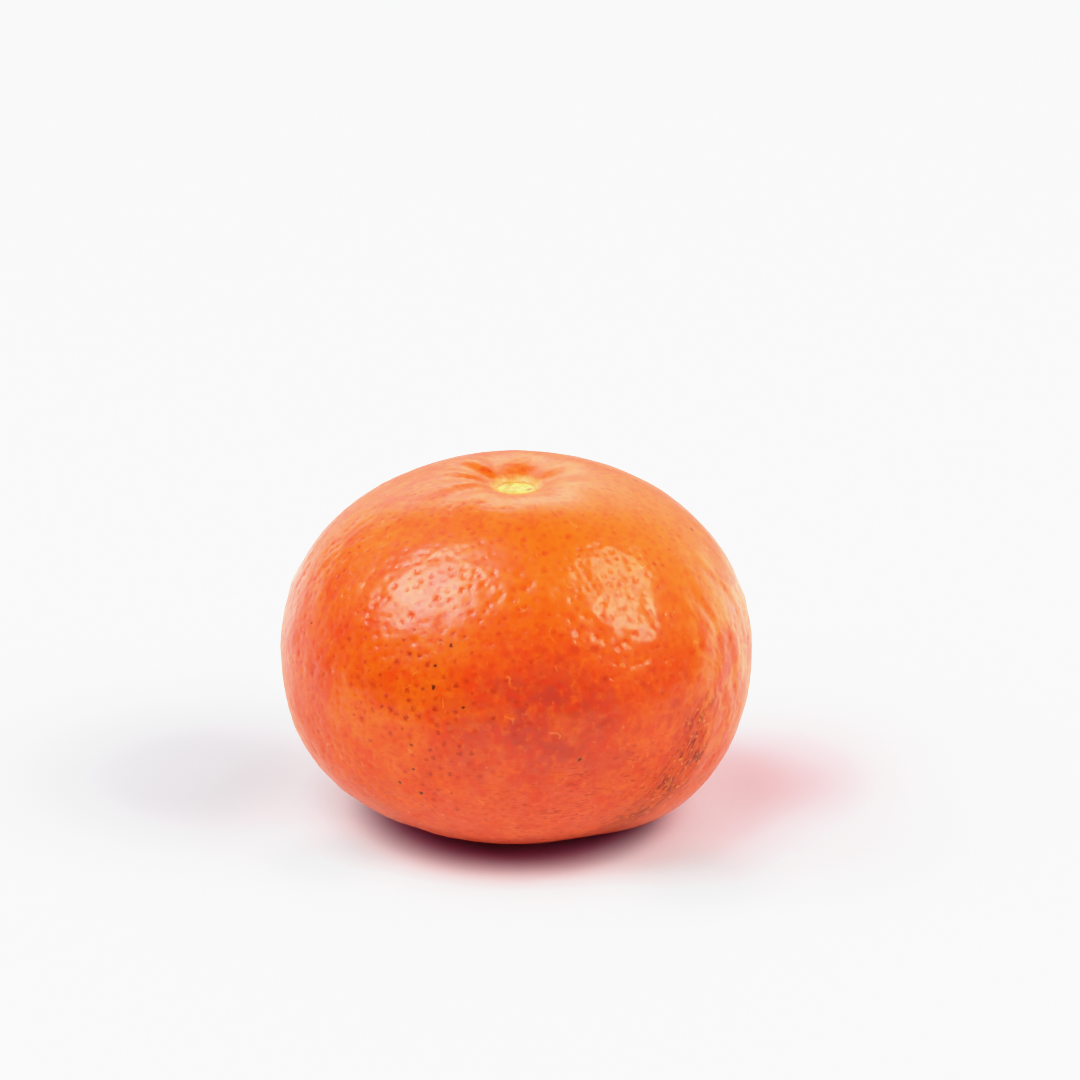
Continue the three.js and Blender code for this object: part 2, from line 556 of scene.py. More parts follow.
def near(nodes, place, azimuth, elevation, full, gone, ragged, shake):
    """1 within full millimetres of a place on the fruit and 0 past gone, with a ragged edge."""
    away = nodes.vector("DISTANCE", place, tuple(skin_place(azimuth, elevation)), output=1)
    shaken = nodes.scaled(shake, ragged * 2, nodes.math("SUBTRACT", away, ragged))
    return nodes.step(shaken, gone, full)


def near_any(nodes, place, places, ragged, shake):
    share = 0.0
    for around_here in places:
        share = nodes.math("MAXIMUM", share, near(nodes, place, *around_here, ragged, shake))
    return share


# ---------------------------------------------------------------- the rind's colours


def srgb(red, green, blue):
    """A display colour, 0 to 255, as a linear one."""
    values = [channel / 255 for channel in (red, green, blue)]
    return [v / 12.92 if v <= 0.04045 else ((v + 0.055) / 1.055) ** 2.4 for v in values] + [1.0]


ORANGE = srgb(238, 96, 10)
RED_ORANGE = srgb(197, 72, 17)
AMBER = srgb(210, 93, 13)
DULL_RED = srgb(158, 54, 40)
# Painted bounce light: the white floor's light on the lower front, painted as salmon.
PAINTED_BOUNCE_SALMON = srgb(216, 86, 50)
# Partly the rind's paler orange, partly painted sheen where the upper shoulders mirror the bright room.
PALE_ORANGE_AND_PAINTED_SHEEN = srgb(242, 108, 18)
MOTTLE = srgb(204, 48, 12)
PALE_MOTTLE = srgb(240, 108, 20)
BLOTCH = srgb(158, 46, 18)
THREAD = srgb(190, 58, 14)
RUSSET = srgb(176, 70, 40)
STROKE = srgb(116, 34, 14)
FLECK = srgb(236, 150, 62)
BLOT = srgb(182, 46, 12)
PIT = srgb(150, 50, 14)
HALO = srgb(176, 84, 10)
SPECK = srgb(70, 26, 10)
# Painted sheen: the colour of the pale streaks where the rippled shoulders mirror the bright room.
PAINTED_SHEEN_STREAK = srgb(252, 138, 58)
SCUFF = srgb(255, 158, 84)
CROWN_DASH = srgb(168, 70, 20)

# A cloud is a noise's wavelength, detail and place in the noise. An edge is two values of what a share
# grows from: it is 0 at the first and 1 at the second.

BROAD_CLOUDS = (13, 3.0, (2.0, 7.0, 4.0))
FINE_CLOUDS = (3.2, 3.0, (9.0, 1.0, 5.0))
CROWN_RAGGED, CROWN_EDGE = 14.0, (12.0, 28.0)  # in height
PATCHES = (  # azimuth, elevation, full within, gone past, raggedness, strength, colour
    (-112, 14, 2.0, 11.0, 6.0, 0.75, AMBER),
    (-128, 0, 2.0, 11.0, 6.0, 0.8, AMBER),
    (-86, 1, 4.0, 17.0, 8.0, 0.9, DULL_RED),
    # painted bounce light from the floor on the lower front
    (-88, -30, 6.0, 22.0, 8.0, 0.7, PAINTED_BOUNCE_SALMON),
    (70, 25, 4.0, 22.0, 10.0, 0.6, AMBER),
    (150, -5, 4.0, 20.0, 10.0, 0.6, RED_ORANGE),
    (10, -12, 3.0, 15.0, 8.0, 0.6, AMBER),
    # these two pale patches on the upper shoulders are partly painted sheen
    (-10, 42, 8.0, 26.0, 6.0, 0.6, PALE_ORANGE_AND_PAINTED_SHEEN),
    (172, 40, 5.0, 20.0, 6.0, 0.4, PALE_ORANGE_AND_PAINTED_SHEEN),
)
MOTTLES = (  # cloud, edge, strength, colour
    ((6.5, 2.0, (4.0, 8.0, 2.0)), (0.45, 0.7), 0.35, PALE_MOTTLE),
    ((4.5, 2.0, (7.0, 3.0, 9.0)), (0.48, 0.7), 0.4, MOTTLE),
    ((1.9, 2.0, (3.0, 2.0, 8.0)), (0.45, 0.68), 0.3, MOTTLE),
    ((1.2, 2.0, (1.0, 6.0, 3.0)), (0.5, 0.7), 0.25, PALE_MOTTLE),
    ((0.6, 2.0, (2.0, 9.0, 6.0)), (0.4, 0.66), 0.22, MOTTLE),
)
CALM = (-38, 56, 9.0, 26.0, 5.0)  # azimuth, elevation, full within, gone past, raggedness
CALMED = 0.65  # share of the mottling that is gone there


def ground_colour(nodes, place):
    """Red orange below and orange above, with patches and mottling. Two pale patches on the upper shoulders
    are partly painted sheen, and the salmon patch on the lower front is painted bounce light from the
    floor.
    """
    broad = nodes.noise(place, *BROAD_CLOUDS)
    fine = nodes.noise(place, *FINE_CLOUDS)
    crown = nodes.step(nodes.scaled(broad, CROWN_RAGGED, nodes.separated(place)["Z"]), *CROWN_EDGE)
    colour = nodes.mix(crown, RED_ORANGE, ORANGE)
    for *patch, strength, stain in PATCHES:
        colour = nodes.stained(colour, stain, near(nodes, place, *patch, fine), strength)
    lively = nodes.scaled(near(nodes, place, *CALM, broad), -CALMED, 1.0)
    for cloud, edge, strength, stain in MOTTLES:
        mottle = nodes.step(nodes.noise(place, *cloud), *edge)
        colour = nodes.stained(colour, stain, mottle, lively, strength)
    return colour


BLOTCH_SPACING = 2.3
BLOTCH_EDGE = (0.56, 0.1)  # from the cell's middle, in spacings
BLOTCH_BEND, BLOTCH_BENDS = 1.6, (1.6, 2.0, (6.0, 1.0, 9.0))
BLOTCHED = (-66, 8, 5.0, 24.0, 6.0)  # azimuth, elevation, full within, gone past, raggedness
BLOTCH_SHARE, OTHER_BLOTCH_SHARE = 0.5, 0.16


def blotch_colour(nodes, place, colour):
    """Soft darker blotches, a few millimetres apart, each as dark as its own cell says."""
    shake = nodes.noise(place, *BLOTCH_BENDS)
    bend = nodes.combined(X=shake, Y=shake, Z=shake)
    moved = nodes.vector("MULTIPLY_ADD", bend, (BLOTCH_BEND,) * 3, place)
    away, own = nodes.cells(moved, BLOTCH_SPACING)
    strength = nodes.scaled(near(nodes, place, *BLOTCHED, shake), BLOTCH_SHARE, OTHER_BLOTCH_SHARE)
    return nodes.stained(colour, BLOTCH, nodes.step(away, *BLOTCH_EDGE), own, strength)


LEVELS = 34.0  # threads lie level: places in the noise per radian of elevation
LOWER_HALF = (0.15, -0.25)  # elevations in radians
THREAD_STRETCH, THREAD_CLOUDS = (0.5, 0.5, 3.6), (1.0, 2.0, (3.0, 1.0, 1.0))
THREAD_EDGE, THREAD_SHARE = (0.45, 0.68), 0.4
DASH_STRETCH, DASH_CLOUDS = (0.7, 0.7, 2.6), (1.0, 1.0, (9.0, 4.0, 2.0))
DASH_EDGE = (0.6, 0.7)
SOME_DASHES, SOME_DASHES_EDGE = (5.0, 1.0, (2.0, 2.0, 5.0)), (0.36, 0.52)
DASHED = (-62, -18, 8.0, 26.0, 2.0)  # azimuth, elevation, full within, gone past, raggedness
DASH_SHARE, OTHER_DASH_SHARE = 0.6, 0.3


def thread_colour(nodes, place, polar, colour):
    """Fine level threads and a few dark dashes on the lower half."""
    level = nodes.combined(Z=nodes.product(polar["lift"], LEVELS))
    levels = nodes.vector("MULTIPLY_ADD", place, (1.0, 1.0, 0.0), level)
    low = nodes.step(polar["lift"], *LOWER_HALF)
    grain = nodes.noise(nodes.vector("MULTIPLY", levels, THREAD_STRETCH), *THREAD_CLOUDS)
    colour = nodes.stained(colour, THREAD, nodes.step(grain, *THREAD_EDGE), THREAD_SHARE, low)
    dash = nodes.noise(nodes.vector("MULTIPLY", levels, DASH_STRETCH), *DASH_CLOUDS)
    some = nodes.step(nodes.noise(place, *SOME_DASHES), *SOME_DASHES_EDGE)
    strength = nodes.scaled(near(nodes, place, *DASHED, some), DASH_SHARE, OTHER_DASH_SHARE)
    return nodes.stained(colour, BLOTCH, nodes.step(dash, *DASH_EDGE), some, strength, low)


RUSSET_PLACES = (  # azimuth, elevation, full within, gone past
    (-40, -2, 1.0, 5.5),
    (-43, -11, 2.0, 6.5),
    (-47, -20, 2.0, 6.5),
    (-54, -30, 1.5, 6.0),
    (118, -12, 1.0, 7.0),
)
RUSSET_RAGGED, RUSSET_CLOUDS = 3.0, (2.4, 3.0, (5.0, 3.0, 1.0))
RUSSET_STAIN = 0.5
STROKES, STROKE_LENGTHS = 58.0, 11.0  # per radian round the fruit and of elevation
STROKE_SLANT = -0.6
STROKE_CLOUDS, STROKE_EDGE, STROKE_SHARE = (1.0, 3.0, (6.0, 6.0, 2.0)), (0.46, 0.58), 0.9
STROKE_BREAKS, STROKE_BREAK_EDGE = (1.1, 3.0, (2.0, 8.0, 3.0)), (0.38, 0.54)
FLECK_CLOUDS, FLECK_EDGE, FLECK_SHARE = (0.9, 3.0, (1.0, 8.0, 7.0)), (0.58, 0.7), 0.5


def russet_share(nodes, place):
    """1 in the rough brown patches, fading round them."""
    return near_any(nodes, place, RUSSET_PLACES, RUSSET_RAGGED, nodes.noise(place, *RUSSET_CLOUDS))


def russet_colour(nodes, place, polar, share, colour):
    """A brown stain with strokes along it and yellow flecks."""
    across = nodes.product(nodes.scaled(polar["lift"], STROKE_SLANT, polar["turn"]), STROKES)
    lines = nodes.combined(X=across, Y=nodes.product(polar["lift"], STROKE_LENGTHS))
    strokes = nodes.step(nodes.noise(lines, *STROKE_CLOUDS), *STROKE_EDGE)
    broken = nodes.step(nodes.noise(place, *STROKE_BREAKS), *STROKE_BREAK_EDGE)
    colour = nodes.stained(colour, RUSSET, share, RUSSET_STAIN)
    colour = nodes.stained(colour, STROKE, share, strokes, broken, STROKE_SHARE)
    flecks = nodes.step(nodes.noise(place, *FLECK_CLOUDS), *FLECK_EDGE)
    return nodes.stained(colour, FLECK, flecks, share, FLECK_SHARE)


# Reaches of a gland's marks are in its radii.
GLAND_UNEVEN, GLAND_UNEVEN_CLOUDS = 2.2, (0.4, 2.0, (5.0, 5.0, 5.0))
PIT_REACH, BLOT_REACH, CORE_REACH = (1.3, 0.1), (2.4, 0.2), (1.0, 0.5)
BLOT_SHARE, PIT_SHARE, DARKEST_PIT, HALO_SHARE, SPECK_SHARE = 0.4, 0.6, 0.85, 0.6, 0.9


def gland_marks(nodes, place):
    """Shares for a gland's pit and for the soft blot round it, with how deep, dark and dead it is."""
    away = nodes.vector("LENGTH", nodes.attribute("gland_offset", "Vector"), output=1)
    uneven = nodes.scaled(nodes.noise(place, *GLAND_UNEVEN_CLOUDS), GLAND_UNEVEN, -GLAND_UNEVEN / 2)
    away = nodes.math("ADD", away, uneven)
    marks = {"pit": nodes.step(away, *PIT_REACH), "blot": nodes.step(away, *BLOT_REACH)}
    marks["core"] = nodes.step(away, *CORE_REACH)
    for name in ("depth", "tone", "stain", "dead"):
        marks[name] = nodes.attribute("gland_" + name)
    return marks


def gland_colour(nodes, colour, glands):
    colour = nodes.stained(colour, BLOT, glands["blot"], glands["stain"], BLOT_SHARE)
    pit = nodes.product(glands["pit"], glands["tone"], PIT_SHARE)
    colour = nodes.mix(nodes.math("MINIMUM", pit, DARKEST_PIT), colour, PIT)
    colour = nodes.stained(colour, HALO, glands["blot"], glands["dead"], HALO_SHARE)
    return nodes.stained(colour, SPECK, glands["core"], glands["dead"], SPECK_SHARE)


STREAKS, STREAK_LENGTHS = 10.0, 5.0  # per radian round the fruit and of elevation
STREAK_BEND, STREAK_BENDS = 0.35, (5.0, 3.0, (1.0, 1.0, 6.0))
STREAK_EDGE, STREAK_SHARE = (0.42, 0.64), 0.42
STREAK_RAGGED, STREAK_CLOUDS = 6.0, (6.0, 2.0, (5.0, 2.0, 6.0))


def painted_sheen_streaks(nodes, place, polar, colour):
    """Pale wavy streaks of painted sheen, the bright room mirrored in the ripples, that run from the stem
    end down the shoulders.
    """
    turn = nodes.scaled(nodes.noise(place, *STREAK_BENDS), STREAK_BEND, polar["turn"])
    across = nodes.product(turn, STREAKS)
    lines = nodes.combined(X=across, Y=nodes.product(polar["lift"], STREAK_LENGTHS))
    sheen_streak = nodes.step(nodes.noise(lines, 1.0), *STREAK_EDGE)
    here = near_any(nodes, place, STREAKED, STREAK_RAGGED, nodes.noise(place, *STREAK_CLOUDS))
    return nodes.stained(colour, PAINTED_SHEEN_STREAK, sheen_streak, here, STREAK_SHARE)


HAIRLINE_CURVES, HAIRLINE_MIDDLE = (3.2, 1.0, (4.0, 9.0, 6.0)), 0.5  # a line is where the noise is this
HAIRLINE_EDGE, HAIRLINE_SHARE = (0.022, 0.006), 0.22
SOME_HAIRLINES, SOME_HAIRLINES_EDGE = (2.1, 2.0, (8.0, 5.0, 5.0)), (0.62, 0.67)
DOT_SPACING, DOT_SHARE = 2.0, 0.5
DOT_EDGE, DOT_CHANCE = (0.08, 0.03), (0.82, 0.97)  # from the cell's middle, in spacings; in the cell's draw


def scuff_colour(nodes, place, colour):
    """Short fine curved hairlines and tiny pale dots."""
    curve = nodes.math("SUBTRACT", nodes.noise(place, *HAIRLINE_CURVES), HAIRLINE_MIDDLE)
    line = nodes.step(nodes.math("ABSOLUTE", curve), *HAIRLINE_EDGE)
    some = nodes.step(nodes.noise(place, *SOME_HAIRLINES), *SOME_HAIRLINES_EDGE)
    colour = nodes.stained(colour, SCUFF, line, some, HAIRLINE_SHARE)
    away, own = nodes.cells(place, DOT_SPACING)
    dot = nodes.step(away, *DOT_EDGE)
    return nodes.stained(colour, SCUFF, dot, nodes.step(own, *DOT_CHANCE), DOT_SHARE)


CROWN_DASHES, CROWN_DASH_LENGTHS = 16.0, 0.42  # per radian round the axis; per millimetre outward
CROWN_DASH_CLOUDS, CROWN_DASH_EDGE = (1.0, 2.0, (3.0, 7.0, 5.0)), (0.6, 0.67)
CROWN_DASH_START, CROWN_DASH_END = (3.2, 4.5), (20.0, 12.0)  # distances from the axis
CROWN_DASH_HEIGHTS, CROWN_DASH_SHARE = (15.0, 20.0), 0.75


def crown_dash_colour(nodes, polar, colour):
    """Short fine dark dashes on the crown that point at the scar."""
    across = nodes.product(polar["turn"], CROWN_DASHES)
    lines = nodes.combined(X=across, Y=nodes.product(polar["outward"], CROWN_DASH_LENGTHS))
    dash = nodes.step(nodes.noise(lines, *CROWN_DASH_CLOUDS), *CROWN_DASH_EDGE)
    ring = nodes.product(
        nodes.step(polar["outward"], *CROWN_DASH_START), nodes.step(polar["outward"], *CROWN_DASH_END)
    )
    crown = nodes.step(polar["height"], *CROWN_DASH_HEIGHTS)
    return nodes.stained(colour, CROWN_DASH, dash, ring, crown, CROWN_DASH_SHARE)


# The scar's rings, with their edges and specks in millimetres from the axis.
SCAR_UNEVEN, SCAR_GRAIN = 1.4, 0.9
SCAR_RINGS = (  # edge, strength, colour
    ((4.2, 2.9), 0.6, srgb(246, 178, 104)),
    ((2.9, 2.6), 0.7, srgb(160, 112, 24)),
)
SCAR_CORE_EDGE = (2.6, 2.3)
SCAR_CORE, SCAR_PALE = srgb(168, 130, 20), srgb(214, 176, 74)
SCAR_CLOUDS, SCAR_CLOUD_EDGE = (1.1, 2.0, (7.0, 7.0, 7.0)), (0.36, 0.66)
SCAR_SPECKS = ((1.9, 0.2, 0.36), (0.25, -1.3, 0.2))  # x, y, radius
SCAR_SPECK_EDGE, SCAR_SPECK_SHARE = (1.3, 0.7), 0.85  # in the speck's radii
SCAR_SPECK = srgb(112, 84, 22)


def scar_colour(nodes, place, polar, colour):
    """The stem's scar: a pale rim, a dark outline and a yellow core with cream clouds and two specks."""
    above = nodes.math("GREATER_THAN", polar["height"], 0.0)
    inward = nodes.math("SUBTRACT", polar["outward"], SCAR_UNEVEN / 2)
    away = nodes.scaled(nodes.noise(place, SCAR_GRAIN), SCAR_UNEVEN, inward)
    for edge, strength, ring in SCAR_RINGS:
        colour = nodes.stained(colour, ring, nodes.step(away, *edge), above, strength)
    cloud = nodes.step(nodes.noise(place, *SCAR_CLOUDS), *SCAR_CLOUD_EDGE)
    core = nodes.mix(cloud, SCAR_CORE, SCAR_PALE)
    colour = nodes.stained(colour, core, nodes.step(away, *SCAR_CORE_EDGE), above)
    flat = nodes.vector("MULTIPLY", place, (1.0, 1.0, 0.0))
    for x, y, size in SCAR_SPECKS:
        gap = nodes.vector("DISTANCE", flat, (x, y, 0.0), output=1)
        spot = nodes.step(gap, *(size * end for end in SCAR_SPECK_EDGE))
        colour = nodes.stained(colour, SCAR_SPECK, spot, above, SCAR_SPECK_SHARE)
    return colour


# ---------------------------------------------------------------- the rind's wax and bump

RIND_IOR, RIND_SPECULAR = 1.45, 0.06  # the rind itself is nearly matt: the wax over it shines
WAX_IOR, WAX_ROUGHNESS = 1.45, 0.2
WAX_CLOUDS, WAX_RANGE = (7.0, 2.0, (8.0, 1.0, 8.0)), (0.3, 0.57)  # range: growth with the cloud, and least
WAX_WORN = 0.35  # share that is gone where the rind is russeted
ROUGHNESS_CLOUDS, ROUGHNESS_RANGE = (5.0, 3.0, (4.0, 4.0, 1.0)), (0.25, 0.3)
GRAIN_CLOUDS, GRAIN_HEIGHT = (0.7, 3.0, (1.0, 2.0, 3.0)), 0.033
PIT_HEIGHT = -0.035


def rind_material(shift):
    material, nodes = new_material("mandarin_rind")
    place = body_place(nodes, shift)
    polar = polar_place(nodes, place)
    glands = gland_marks(nodes, place)
    russet = russet_share(nodes, place)
    colour = ground_colour(nodes, place)
    colour = blotch_colour(nodes, place, colour)
    colour = thread_colour(nodes, place, polar, colour)
    colour = russet_colour(nodes, place, polar, russet, colour)
    colour = gland_colour(nodes, colour, glands)
    colour = painted_sheen_streaks(nodes, place, polar, colour)
    colour = scuff_colour(nodes, place, colour)
    colour = crown_dash_colour(nodes, polar, colour)
    colour = scar_colour(nodes, place, polar, colour)
    roughness = nodes.scaled(nodes.noise(place, *ROUGHNESS_CLOUDS), *ROUGHNESS_RANGE)
    shader = nodes.add("BsdfPrincipled", Base_Color=colour, Roughness=roughness)
    shader.inputs["IOR"].default_value = RIND_IOR
    shader.inputs["Specular IOR Level"].default_value = RIND_SPECULAR
    shader.inputs["Coat Roughness"].default_value = WAX_ROUGHNESS
    shader.inputs["Coat IOR"].default_value = WAX_IOR
    nodes.feed(shader.inputs["Coat Weight"], wax_weight(nodes, place, russet))
    bump = rind_bump(nodes, place, glands)
    nodes.feed(shader.inputs["Normal"], bump)
    nodes.feed(shader.inputs["Coat Normal"], bump)
    output = nodes.add("OutputMaterial")
    nodes.feed(output.inputs["Surface"], shader.outputs[0])
    return material


def wax_weight(nodes, place, russet):
    """The wax is thinner in clouds, and worn where the rind is rough."""
    cloud = nodes.scaled(nodes.noise(place, *WAX_CLOUDS), *WAX_RANGE)
    return nodes.product(cloud, nodes.scaled(russet, -WAX_WORN, 1.0))


def rind_bump(nodes, place, glands):
    """Fine grain and the bottoms of the glands' pits, over the relief that the mesh has."""
    grain = nodes.product(nodes.noise(place, *GRAIN_CLOUDS), GRAIN_HEIGHT)
    height = nodes.math("ADD", grain, nodes.product(glands["pit"], glands["depth"], PIT_HEIGHT))
    return nodes.add("Bump", Height=height, Strength=1.0, Distance=MM).outputs[0]


# ---------------------------------------------------------------- camera

VIEW_ELEVATION = 23.0  # of the camera, over the middle of the fruit
VIEW_DISTANCE = 612.0
VIEW_FOCAL = 4235.0  # in pixels of the frame
FRAME = 1080.0  # pixels
BODY_PIXEL = (516.0, 649.3)  # where the middle of the fruit's body shows
SENSOR = 36.0
CLIP = (0.01, 50.0)  # metres


def add_object(name, data):
    thing = bpy.data.objects.new(name, data)
    bpy.context.scene.collection.objects.link(thing)
    return thing


def add_camera(shift):
    """The photo's camera: it looks past the fruit's body, so that the body shows where the photo has it."""
    tilt = math.radians(VIEW_ELEVATION)
    back = Vector((0, -math.cos(tilt), math.sin(tilt)))
    up = Vector((0, math.sin(tilt), math.cos(tilt)))
    right = Vector((1, 0, 0))
    body = Vector(shift)
    per_pixel = VIEW_DISTANCE / VIEW_FOCAL
    aside = (FRAME / 2 - BODY_PIXEL[0]) * per_pixel
    above = (BODY_PIXEL[1] - FRAME / 2) * per_pixel
    aim = body + right * aside + up * above
    eye = body + back * VIEW_DISTANCE
    data = bpy.data.cameras.new("camera")
    data.sensor_width = SENSOR
    data.lens = VIEW_FOCAL / FRAME * SENSOR
    data.clip_start, data.clip_end = CLIP
    camera = add_object("camera", data)
    camera.location = eye * MM
    camera.rotation_euler = (aim - eye).to_track_quat("-Z", "Y").to_euler()
    bpy.context.scene.camera = camera


# ---------------------------------------------------------------- lights

WARM = (1.0, 0.97, 0.97)
AMBER_LIGHT = (1.0, 0.94, 0.66)
PEACH_LIGHT = (1.0, 0.95, 0.8)
ROSE_LIGHT = (1.0, 0.82, 0.95)
PLAIN = (1.0, 1.0, 1.0)
SOFTBOXES = (  # name, (azimuth, elevation, metres away), degrees wide and tall, roll, radiance, colour
    ("key", (-166, 54, 2.4), 36, 44, 0, 8.2, WARM),
    ("side", (-20, 37, 2.4), 15, 30, -8, 15.0, AMBER_LIGHT),
    ("side_top", (10, 55, 2.4), 20, 22, 0, 9.0, AMBER_LIGHT),
)
SOFTENING = 1.5  # how much wider the lamps that light are than those that are mirrored
FILL = ("fill", (-90, 52, 3.0), 90, 90, 0, 0.7, PLAIN)  # over everything, and not seen in reflections


def add_softbox(name, place, wide, tall, roll, radiance, colour):
    """Two lamps in one place: the coloured one is mirrored in the wax, the plain one lights the rest."""
    mirrored = add_area(name + "_mirrored", place, wide, tall, roll, radiance, colour)
    mirrored.visible_diffuse = False
    wide, tall, radiance = wide * SOFTENING, tall * SOFTENING, radiance / SOFTENING**2
    lighting = add_area(name + "_lighting", place, wide, tall, roll, radiance, PLAIN)
    lighting.visible_glossy = False


def add_area(name, place, wide, tall, roll, radiance, colour):
    """An oval lamp that faces the fruit, as bright from every side as its radiance says."""
    azimuth, elevation, distance = place
    data = bpy.data.lights.new(name, "AREA")
    data.shape = "ELLIPSE"
    data.size = 2 * distance * math.tan(math.radians(wide / 2))
    data.size_y = 2 * distance * math.tan(math.radians(tall / 2))
    area = math.pi / 4 * data.size * data.size_y
    data.energy = math.pi * radiance * area
    data.color = colour
    light = add_object(name, data)
    outward = Vector(direction(azimuth, elevation))
    light.location = outward * distance
    aimed = (-outward).to_track_quat("-Z", "Y").to_matrix()
    light.rotation_euler = (aimed @ Matrix.Rotation(math.radians(roll), 3, "Z")).to_euler()
    return light


BOUNCE_FROM, BOUNCE_TO = Vector((0.16, 0.06, 0.12)), Vector((0.028, -0.003, 0.0))  # metres
BOUNCE_CONE, BOUNCE_SIZE = 16.0, 0.01  # degrees, metres
BOUNCE_POWER, BOUNCE_COLOUR = 0.26, (1.0, 0.2, 0.17)


def add_bounce():
    """Red light on the floor in the shadow, as from the fruit that lay behind this one."""
    data = bpy.data.lights.new("bounce", "SPOT")
    data.energy = BOUNCE_POWER
    data.color = BOUNCE_COLOUR
    data.spot_size = math.radians(BOUNCE_CONE)
    data.spot_blend = 1.0
    data.shadow_soft_size = BOUNCE_SIZE
    light = add_object("bounce", data)
    light.location = BOUNCE_FROM
    light.rotation_euler = (BOUNCE_TO - BOUNCE_FROM).to_track_quat("-Z", "Y").to_euler()
    light.visible_glossy = False


GLOWS = (  # azimuth, elevation, spread in degrees, radiance, colour: soft light from far away
    (-163, 56, 9, 6.0, WARM),
    (-178, 57, 25, 2.8, WARM),
    (-146, 40, 12, 2.6, WARM),
    (160, 45, 12, 1.6, WARM),
    (165, 76, 12, 2.0, WARM),
    (-8, 48, 18, 2.0, AMBER_LIGHT),
    (48, 26, 26, 1.1, AMBER_LIGHT),
    (88, 36, 17, 4.0, PEACH_LIGHT),
    (112, 34, 14, 1.3, WARM),
    (113, 12, 12, 0.9, WARM),
    (90, 8, 35, 0.6, PEACH_LIGHT),
    (26, 0, 20, 1.7, PEACH_LIGHT),
    (44, 0, 14, 1.6, PEACH_LIGHT),
    (134, 0, 18, 1.5, WARM),
    (162, 0, 18, 1.1, WARM),
    (-90, 6, 50, 0.42, ROSE_LIGHT),
    (-32, 6, 22, 0.8, ROSE_LIGHT),
)
ROOM_LIGHT = 0.04  # radiance from everywhere else
MATT_GLOWS = (  # azimuth, elevation, spread, radiance: the same light in short, for what isn't glossy
    (-173, 57, 24, 3.14),
    (29, 22, 34, 1.08),
    (93, 26, 28, 1.63),
    (146, 0, 23, 0.72),
    (-75, 7, 51, 0.26),
)
MATT_ROOM_LIGHT = 0.086
BACKDROP = (1.5, 1.5, 1.55, 1.0)  # what the camera sees past the floor


def add_world():
    """A dark room with soft lights far away; the camera itself sees a pale backdrop."""
    world = bpy.data.worlds.new("studio")
    world.use_nodes = True
    bpy.context.scene.world = world
    nodes = Nodes(world.node_tree)
    toward = nodes.add("TexCoord").outputs["Generated"]
    mirrored = nodes.add("Background", Color=glow_light(nodes, toward))
    matt = nodes.add("Background", Color=(1.0, 1.0, 1.0, 1.0), Strength=matt_light(nodes, toward))
    shader = by_ray(nodes, "Is Glossy Ray", mirrored, matt)
    shader = by_ray(nodes, "Is Camera Ray", nodes.add("Background", Color=BACKDROP), shader)
    output = nodes.add("OutputWorld")
    nodes.feed(output.inputs["Surface"], shader.outputs[0])


def glow_light(nodes, toward):
    """The room's coloured light from a direction: every glow's, and a little from everywhere."""
    light = (ROOM_LIGHT,) * 3
    for azimuth, elevation, spread, radiance, colour in GLOWS:
        share = glow_share(nodes, toward, azimuth, elevation, spread)
        light = nodes.vector("MULTIPLY_ADD", share, tuple(radiance * channel for channel in colour), light)
    return light


def matt_light(nodes, toward):
    light = MATT_ROOM_LIGHT
    for azimuth, elevation, spread, radiance in MATT_GLOWS:
        light = nodes.scaled(glow_share(nodes, toward, azimuth, elevation, spread), radiance, light)
    return light


def glow_share(nodes, toward, azimuth, elevation, spread):
    """1 in the glow's middle, falling off round it as a bell curve does."""
    facing = nodes.vector("DOT_PRODUCT", toward, tuple(direction(azimuth, elevation)), output=1)
    sharpness = 2 / math.radians(spread) ** 2
    return nodes.math("EXPONENT", nodes.scaled(facing, sharpness, -sharpness))


def by_ray(nodes, kind, shader, other):
    """One shader for one kind of ray and another for the rest."""
    both = nodes.add("MixShader")
    nodes.feed(both.inputs[0], nodes.add("LightPath").outputs[kind])
    nodes.feed(both.inputs[1], other.outputs[0])
    nodes.feed(both.inputs[2], shader.outputs[0])
    return both


# ---------------------------------------------------------------- floor

FLOOR_RADIUS, FLOOR_SIDES = 6.0, 96  # metres
FLOOR = (0.88, 0.89, 0.92, 1.0)
PAINTED_FLOOR_SHADOWS = (  # x, y in metres, full within, gone past, colour: painted shadows, painted shade and painted red bounce light on the paper
    (-0.05, 0.012, 0.008, 0.045, (0.6, 0.6, 0.61, 1.0)),
    (0.041, -0.008, 0.006, 0.033, (0.82, 0.72, 0.73, 1.0)),
    (0.042, 0.015, 0.004, 0.026, (0.87, 0.75, 0.76, 1.0)),
    (0.026, -0.026, 0.004, 0.016, (0.76, 0.82, 0.81, 1.0)),
    (0.044, 0.02, 0.002, 0.032, (1.0, 0.86, 0.86, 1.0)),
    (-0.027, -0.019, 0.003, 0.013, (0.78, 0.86, 0.86, 1.0)),
    (0.0, 0.0, 0.016, 0.026, (0.42, 0.18, 0.3, 1.0)),
)
FLOOR_LIGHT = 1.9  # radiance of the open floor
MIRROR_FADE = (0.05, 0.28)  # metres: from here to there the mirrored floor turns into the mirrored room
BEHIND, BEHIND_FADE = (0.0, 0.06, 0.0), (0.13, 0.04)  # metres
BEHIND_ORANGE = (0.92, 0.68, 0.54, 1.0)  # in reflections, as if the other fruits lay there


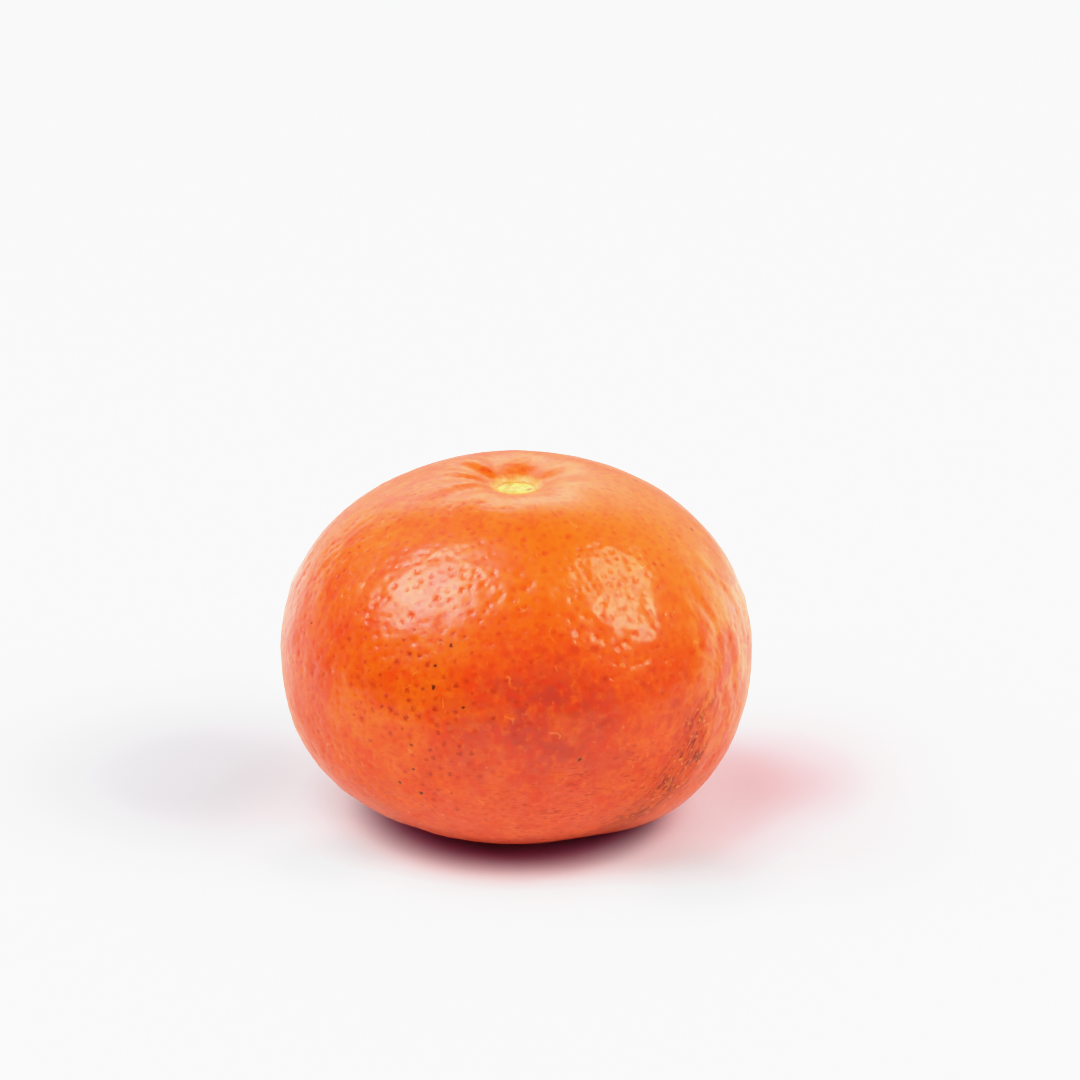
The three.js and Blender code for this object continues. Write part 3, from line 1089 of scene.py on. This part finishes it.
def add_floor():
    """White paper with painted shadows and painted bounce light round the fruit, seen by the camera and in
    reflections; they colour no light.
    """
    bpy.ops.mesh.primitive_circle_add(vertices=FLOOR_SIDES, radius=FLOOR_RADIUS, fill_type="NGON")
    floor = bpy.context.object
    floor.name = "floor"
    material, nodes = new_material("floor")
    place = nodes.add("TexCoord").outputs["Object"]
    colour = FLOOR
    # Each painted shadow darkens or tints the paper round its place, as a cast shadow or bounce light
    # would.
    for x, y, full, gone, painted_shadow in PAINTED_FLOOR_SHADOWS:
        away = nodes.vector("DISTANCE", place, (x, y, 0.0), output=1)
        colour = nodes.mix(nodes.step(away, gone, full), colour, painted_shadow, "MULTIPLY")
    mirrored = nodes.add("BsdfDiffuse", Color=mirrored_floor(nodes, place, colour))
    shader = by_ray(nodes, "Is Glossy Ray", mirrored, nodes.add("BsdfDiffuse", Color=FLOOR))
    shader = by_ray(nodes, "Is Camera Ray", nodes.add("BsdfDiffuse", Color=colour), shader)
    output = nodes.add("OutputMaterial")
    nodes.feed(output.inputs["Surface"], shader.outputs[0])
    floor.data.materials.append(material)


def mirrored_floor(nodes, place, colour):
    """In reflections the floor far off is as bright as the room's glows are there, so no horizon shows."""
    behind = nodes.step(nodes.vector("DISTANCE", place, BEHIND, output=1), *BEHIND_FADE)
    colour = nodes.mix(behind, colour, BEHIND_ORANGE)
    room = glow_light(nodes, nodes.vector("NORMALIZE", place))
    room = nodes.vector("MULTIPLY", room, (1 / FLOOR_LIGHT,) * 3)
    far = nodes.step(nodes.vector("LENGTH", place, output=1), *MIRROR_FADE)
    return nodes.mix(far, colour, room)


# ---------------------------------------------------------------- view

TONE_CURVE = (  # light, shown: deep shadows are crushed and whites held back, as the photo's are
    (0.0, 0.0),
    (0.02, 0.006),
    (0.04, 0.018),
    (0.08, 0.05),
    (0.4, 0.36),
    (0.8, 0.76),
    (1.0, 0.88),
    (1.3, 0.925),
    (1.7, 0.951),
    (2.5, 0.972),
)
COMBINED_CURVE = 3  # after red, green and blue


def set_view():
    view = bpy.context.scene.view_settings
    view.view_transform = "Standard"
    view.use_curve_mapping = True
    mapping = view.curve_mapping
    mapping.clip_max_x = TONE_CURVE[-1][0]
    curve = mapping.curves[COMBINED_CURVE]
    curve.points[0].location = TONE_CURVE[0]
    curve.points[1].location = TONE_CURVE[-1]
    for light, shown in TONE_CURVE[1:-1]:
        curve.points.new(light, shown)
    for point in curve.points:
        point.handle_type = "VECTOR"
    mapping.update()


def main():
    glands = Glands(np.random.default_rng(SEED))
    mesh, shift = skin_mesh(glands)
    mesh.materials.append(rind_material(shift))
    fruit = add_object("mandarin_fruit", mesh)
    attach(fruit, "root")
    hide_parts("mandarin")
    add_camera(shift)
    for softbox in SOFTBOXES:
        add_softbox(*softbox)
    add_area(*FILL).visible_glossy = False
    add_bounce()
    add_world()
    add_floor()
    set_view()


main()
